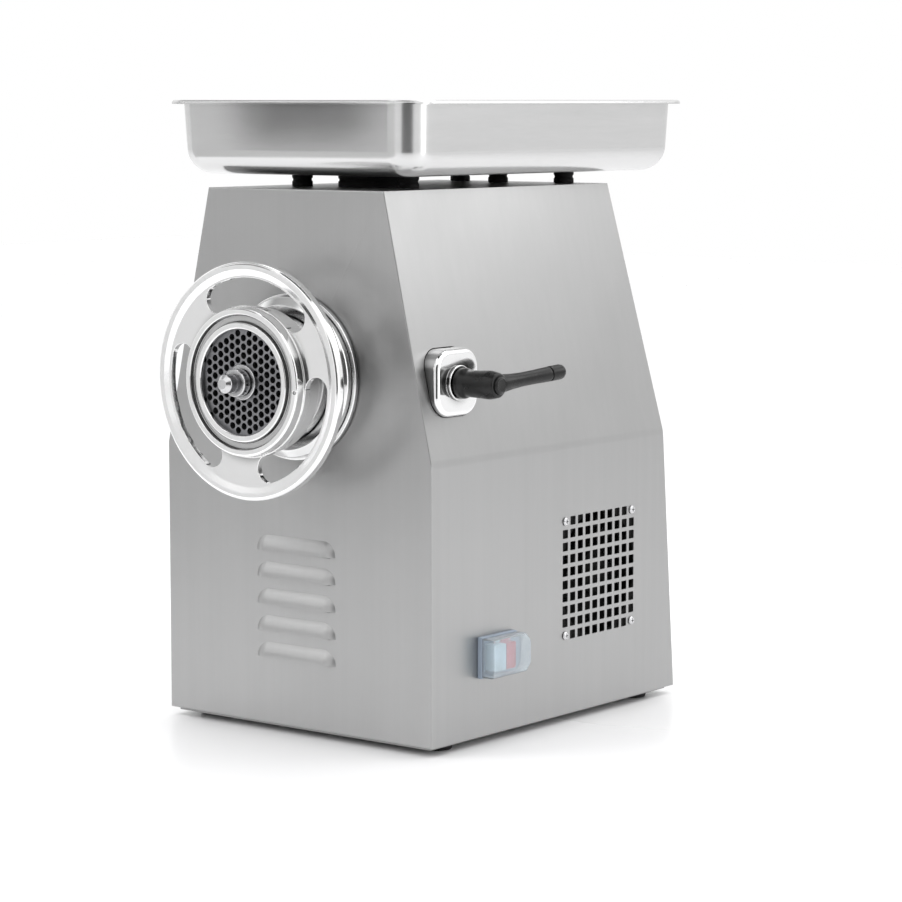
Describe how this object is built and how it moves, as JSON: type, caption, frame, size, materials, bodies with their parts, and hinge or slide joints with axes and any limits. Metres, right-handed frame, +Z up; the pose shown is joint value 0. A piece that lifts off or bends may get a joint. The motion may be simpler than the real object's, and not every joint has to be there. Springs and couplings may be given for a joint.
{
  "type": "electric meat grinder",
  "caption": "Countertop electric meat grinder: sheet steel casing with a removable grinding head, handwheel ring nut, clamp lever, side switch and a lift-off tray.",
  "frame": {"origin": "on the floor at the middle of the four feet", "axes": "-Y is the front with the grinding head, +X is the side with the clamp lever and the switch, +Z is up"},
  "size_m": [0.3613, 0.5022, 0.566],
  "materials": {
    "brushed_steel": "fine upright brushing, satin",
    "plain_steel": "plain sheet",
    "tray_steel": "drawn and half polished",
    "polished_steel": "polished",
    "chrome": "mirror",
    "dark_steel": "ground",
    "cast_metal": "machined casting",
    "cast_aluminium": "casting",
    "aluminium": "drawn can",
    "motor_paint": "satin paint",
    "motor_iron": "laminated iron with windings",
    "bronze": "turned",
    "rubber": "matte",
    "black_plastic": "moulded, slight sheen",
    "grey_plastic": "moulded",
    "pale_plastic": "moulded",
    "red_plastic": "moulded",
    "clear_silicone": "clear moulded cover"
  },
  "bodies": {
    "casing": {"front_panel": "brushed_steel", "side_panel_right": "brushed_steel", "side_panel_left": "brushed_steel", "rear_panel": "brushed_steel", "top_panel": "brushed_steel", "base_plate": "plain_steel", "feet": "rubber", "rear_screws": "polished_steel", "tray_supports": "rubber", "neck_gasket": "rubber", "cable_gland": "black_plastic", "gland_nut": "black_plastic", "electrical_box": "grey_plastic", "capacitor": "aluminium", "head_sleeve": "cast_metal", "head_flange": "polished_steel", "clamp_boss": "chrome", "clamp_washer": "chrome", "switch_block": "black_plastic", "switch_bezel": "grey_plastic", "switch_boot": "clear_silicone", "fan_frame": "black_plastic", "grille_screws": "polished_steel", "gearbox_housing": "cast_aluminium", "gearbox_cover": "cast_aluminium", "output_bearings": "polished_steel", "shaft_seal": "rubber", "intermediate_bearings": "polished_steel", "motor_shell": "motor_paint", "motor_front_bell": "cast_aluminium", "motor_rear_bell": "cast_aluminium", "stator": "motor_iron", "motor_bearings": "polished_steel", "motor_cradle": "plain_steel"},
    "tray": {"tray": "tray_steel"},
    "barrel": {"barrel": "polished_steel", "barrel_bush": "bronze", "plate_key": "dark_steel"},
    "plate": {"hole_plate": "dark_steel"},
    "ring_nut": {"handwheel_nut": "polished_steel"},
    "feed_set": {"feed_screw": "dark_steel", "knife": "polished_steel", "centre_nut": "polished_steel"},
    "clamp": {"clamp_screw": "dark_steel", "lever_spring": "dark_steel"},
    "lever": {"clamp_lever": "black_plastic", "lever_end_cap": "black_plastic", "lever_button": "black_plastic"},
    "start": {"start_button": "pale_plastic"},
    "stop": {"stop_button": "red_plastic"},
    "fan": {"fan_rotor": "black_plastic"},
    "output": {"output_shaft": "dark_steel", "output_gear": "dark_steel"},
    "intermediate": {"intermediate_shaft": "dark_steel", "intermediate_gear": "dark_steel"},
    "motor_rotor": {"rotor": "motor_iron", "motor_shaft": "dark_steel"}
  },
  "joints": [
    {"name": "tray_lift", "type": "slide", "parent": "casing", "child": "tray", "axis": [0, 0, 1], "range_m": [0, 0.1]},
    {"name": "barrel_slide", "type": "slide", "parent": "casing", "child": "barrel", "axis": [0, -1, 0], "range_m": [0, 0.18]},
    {"name": "plate_slide", "type": "slide", "parent": "barrel", "child": "plate", "axis": [0, -1, 0], "range_m": [0, 0.0101]},
    {"name": "ring_turn", "type": "hinge", "parent": "plate", "child": "ring_nut", "pos_m": [0, -0.246, 0.323], "axis": [0, -1, 0], "range_deg": [0, 720]},
    {"name": "feed_spin", "type": "hinge", "parent": "plate", "child": "feed_set", "pos_m": [0, -0.1, 0.323], "axis": [0, 1, 0], "continuous": true},
    {"name": "output_spin", "type": "hinge", "parent": "casing", "child": "output", "pos_m": [0, 0.06, 0.323], "axis": [0, 1, 0], "continuous": true},
    {"name": "intermediate_spin", "type": "hinge", "parent": "casing", "child": "intermediate", "pos_m": [0, 0.08, 0.2405], "axis": [0, 1, 0], "continuous": true},
    {"name": "motor_spin", "type": "hinge", "parent": "casing", "child": "motor_rotor", "pos_m": [0, -0.06, 0.173], "axis": [0, 1, 0], "continuous": true},
    {"name": "fan_spin", "type": "hinge", "parent": "casing", "child": "fan", "pos_m": [0.14, 0.0618, 0.133], "axis": [1, 0, 0], "continuous": true},
    {"name": "clamp_turn", "type": "hinge", "parent": "casing", "child": "clamp", "pos_m": [0.16, -0.1435, 0.323], "axis": [1, 0, 0], "range_deg": [0, 180]},
    {"name": "lever_lift", "type": "slide", "parent": "clamp", "child": "lever", "axis": [1, 0, 0], "range_m": [0, 0.003], "stiffness_N_per_m": 1500, "springref_m": -0.002, "deforming": ["lever_spring"]},
    {"name": "start_press", "type": "slide", "parent": "casing", "child": "start", "axis": [-1, 0, 0], "range_m": [0, 0.003], "stiffness_N_per_m": 600, "springref_m": -0.001},
    {"name": "stop_press", "type": "slide", "parent": "casing", "child": "stop", "axis": [-1, 0, 0], "range_m": [0, 0.003], "stiffness_N_per_m": 600, "springref_m": -0.001}
  ],
  "couplings": [
    {"joint": "plate_slide", "follows": "ring_turn", "m_per_rad": 0.00079577},
    {"joint": "feed_spin", "follows": "output_spin", "ratio": 1},
    {"joint": "intermediate_spin", "follows": "output_spin", "ratio": -2.3},
    {"joint": "motor_spin", "follows": "output_spin", "ratio": 9.2}
  ]
}
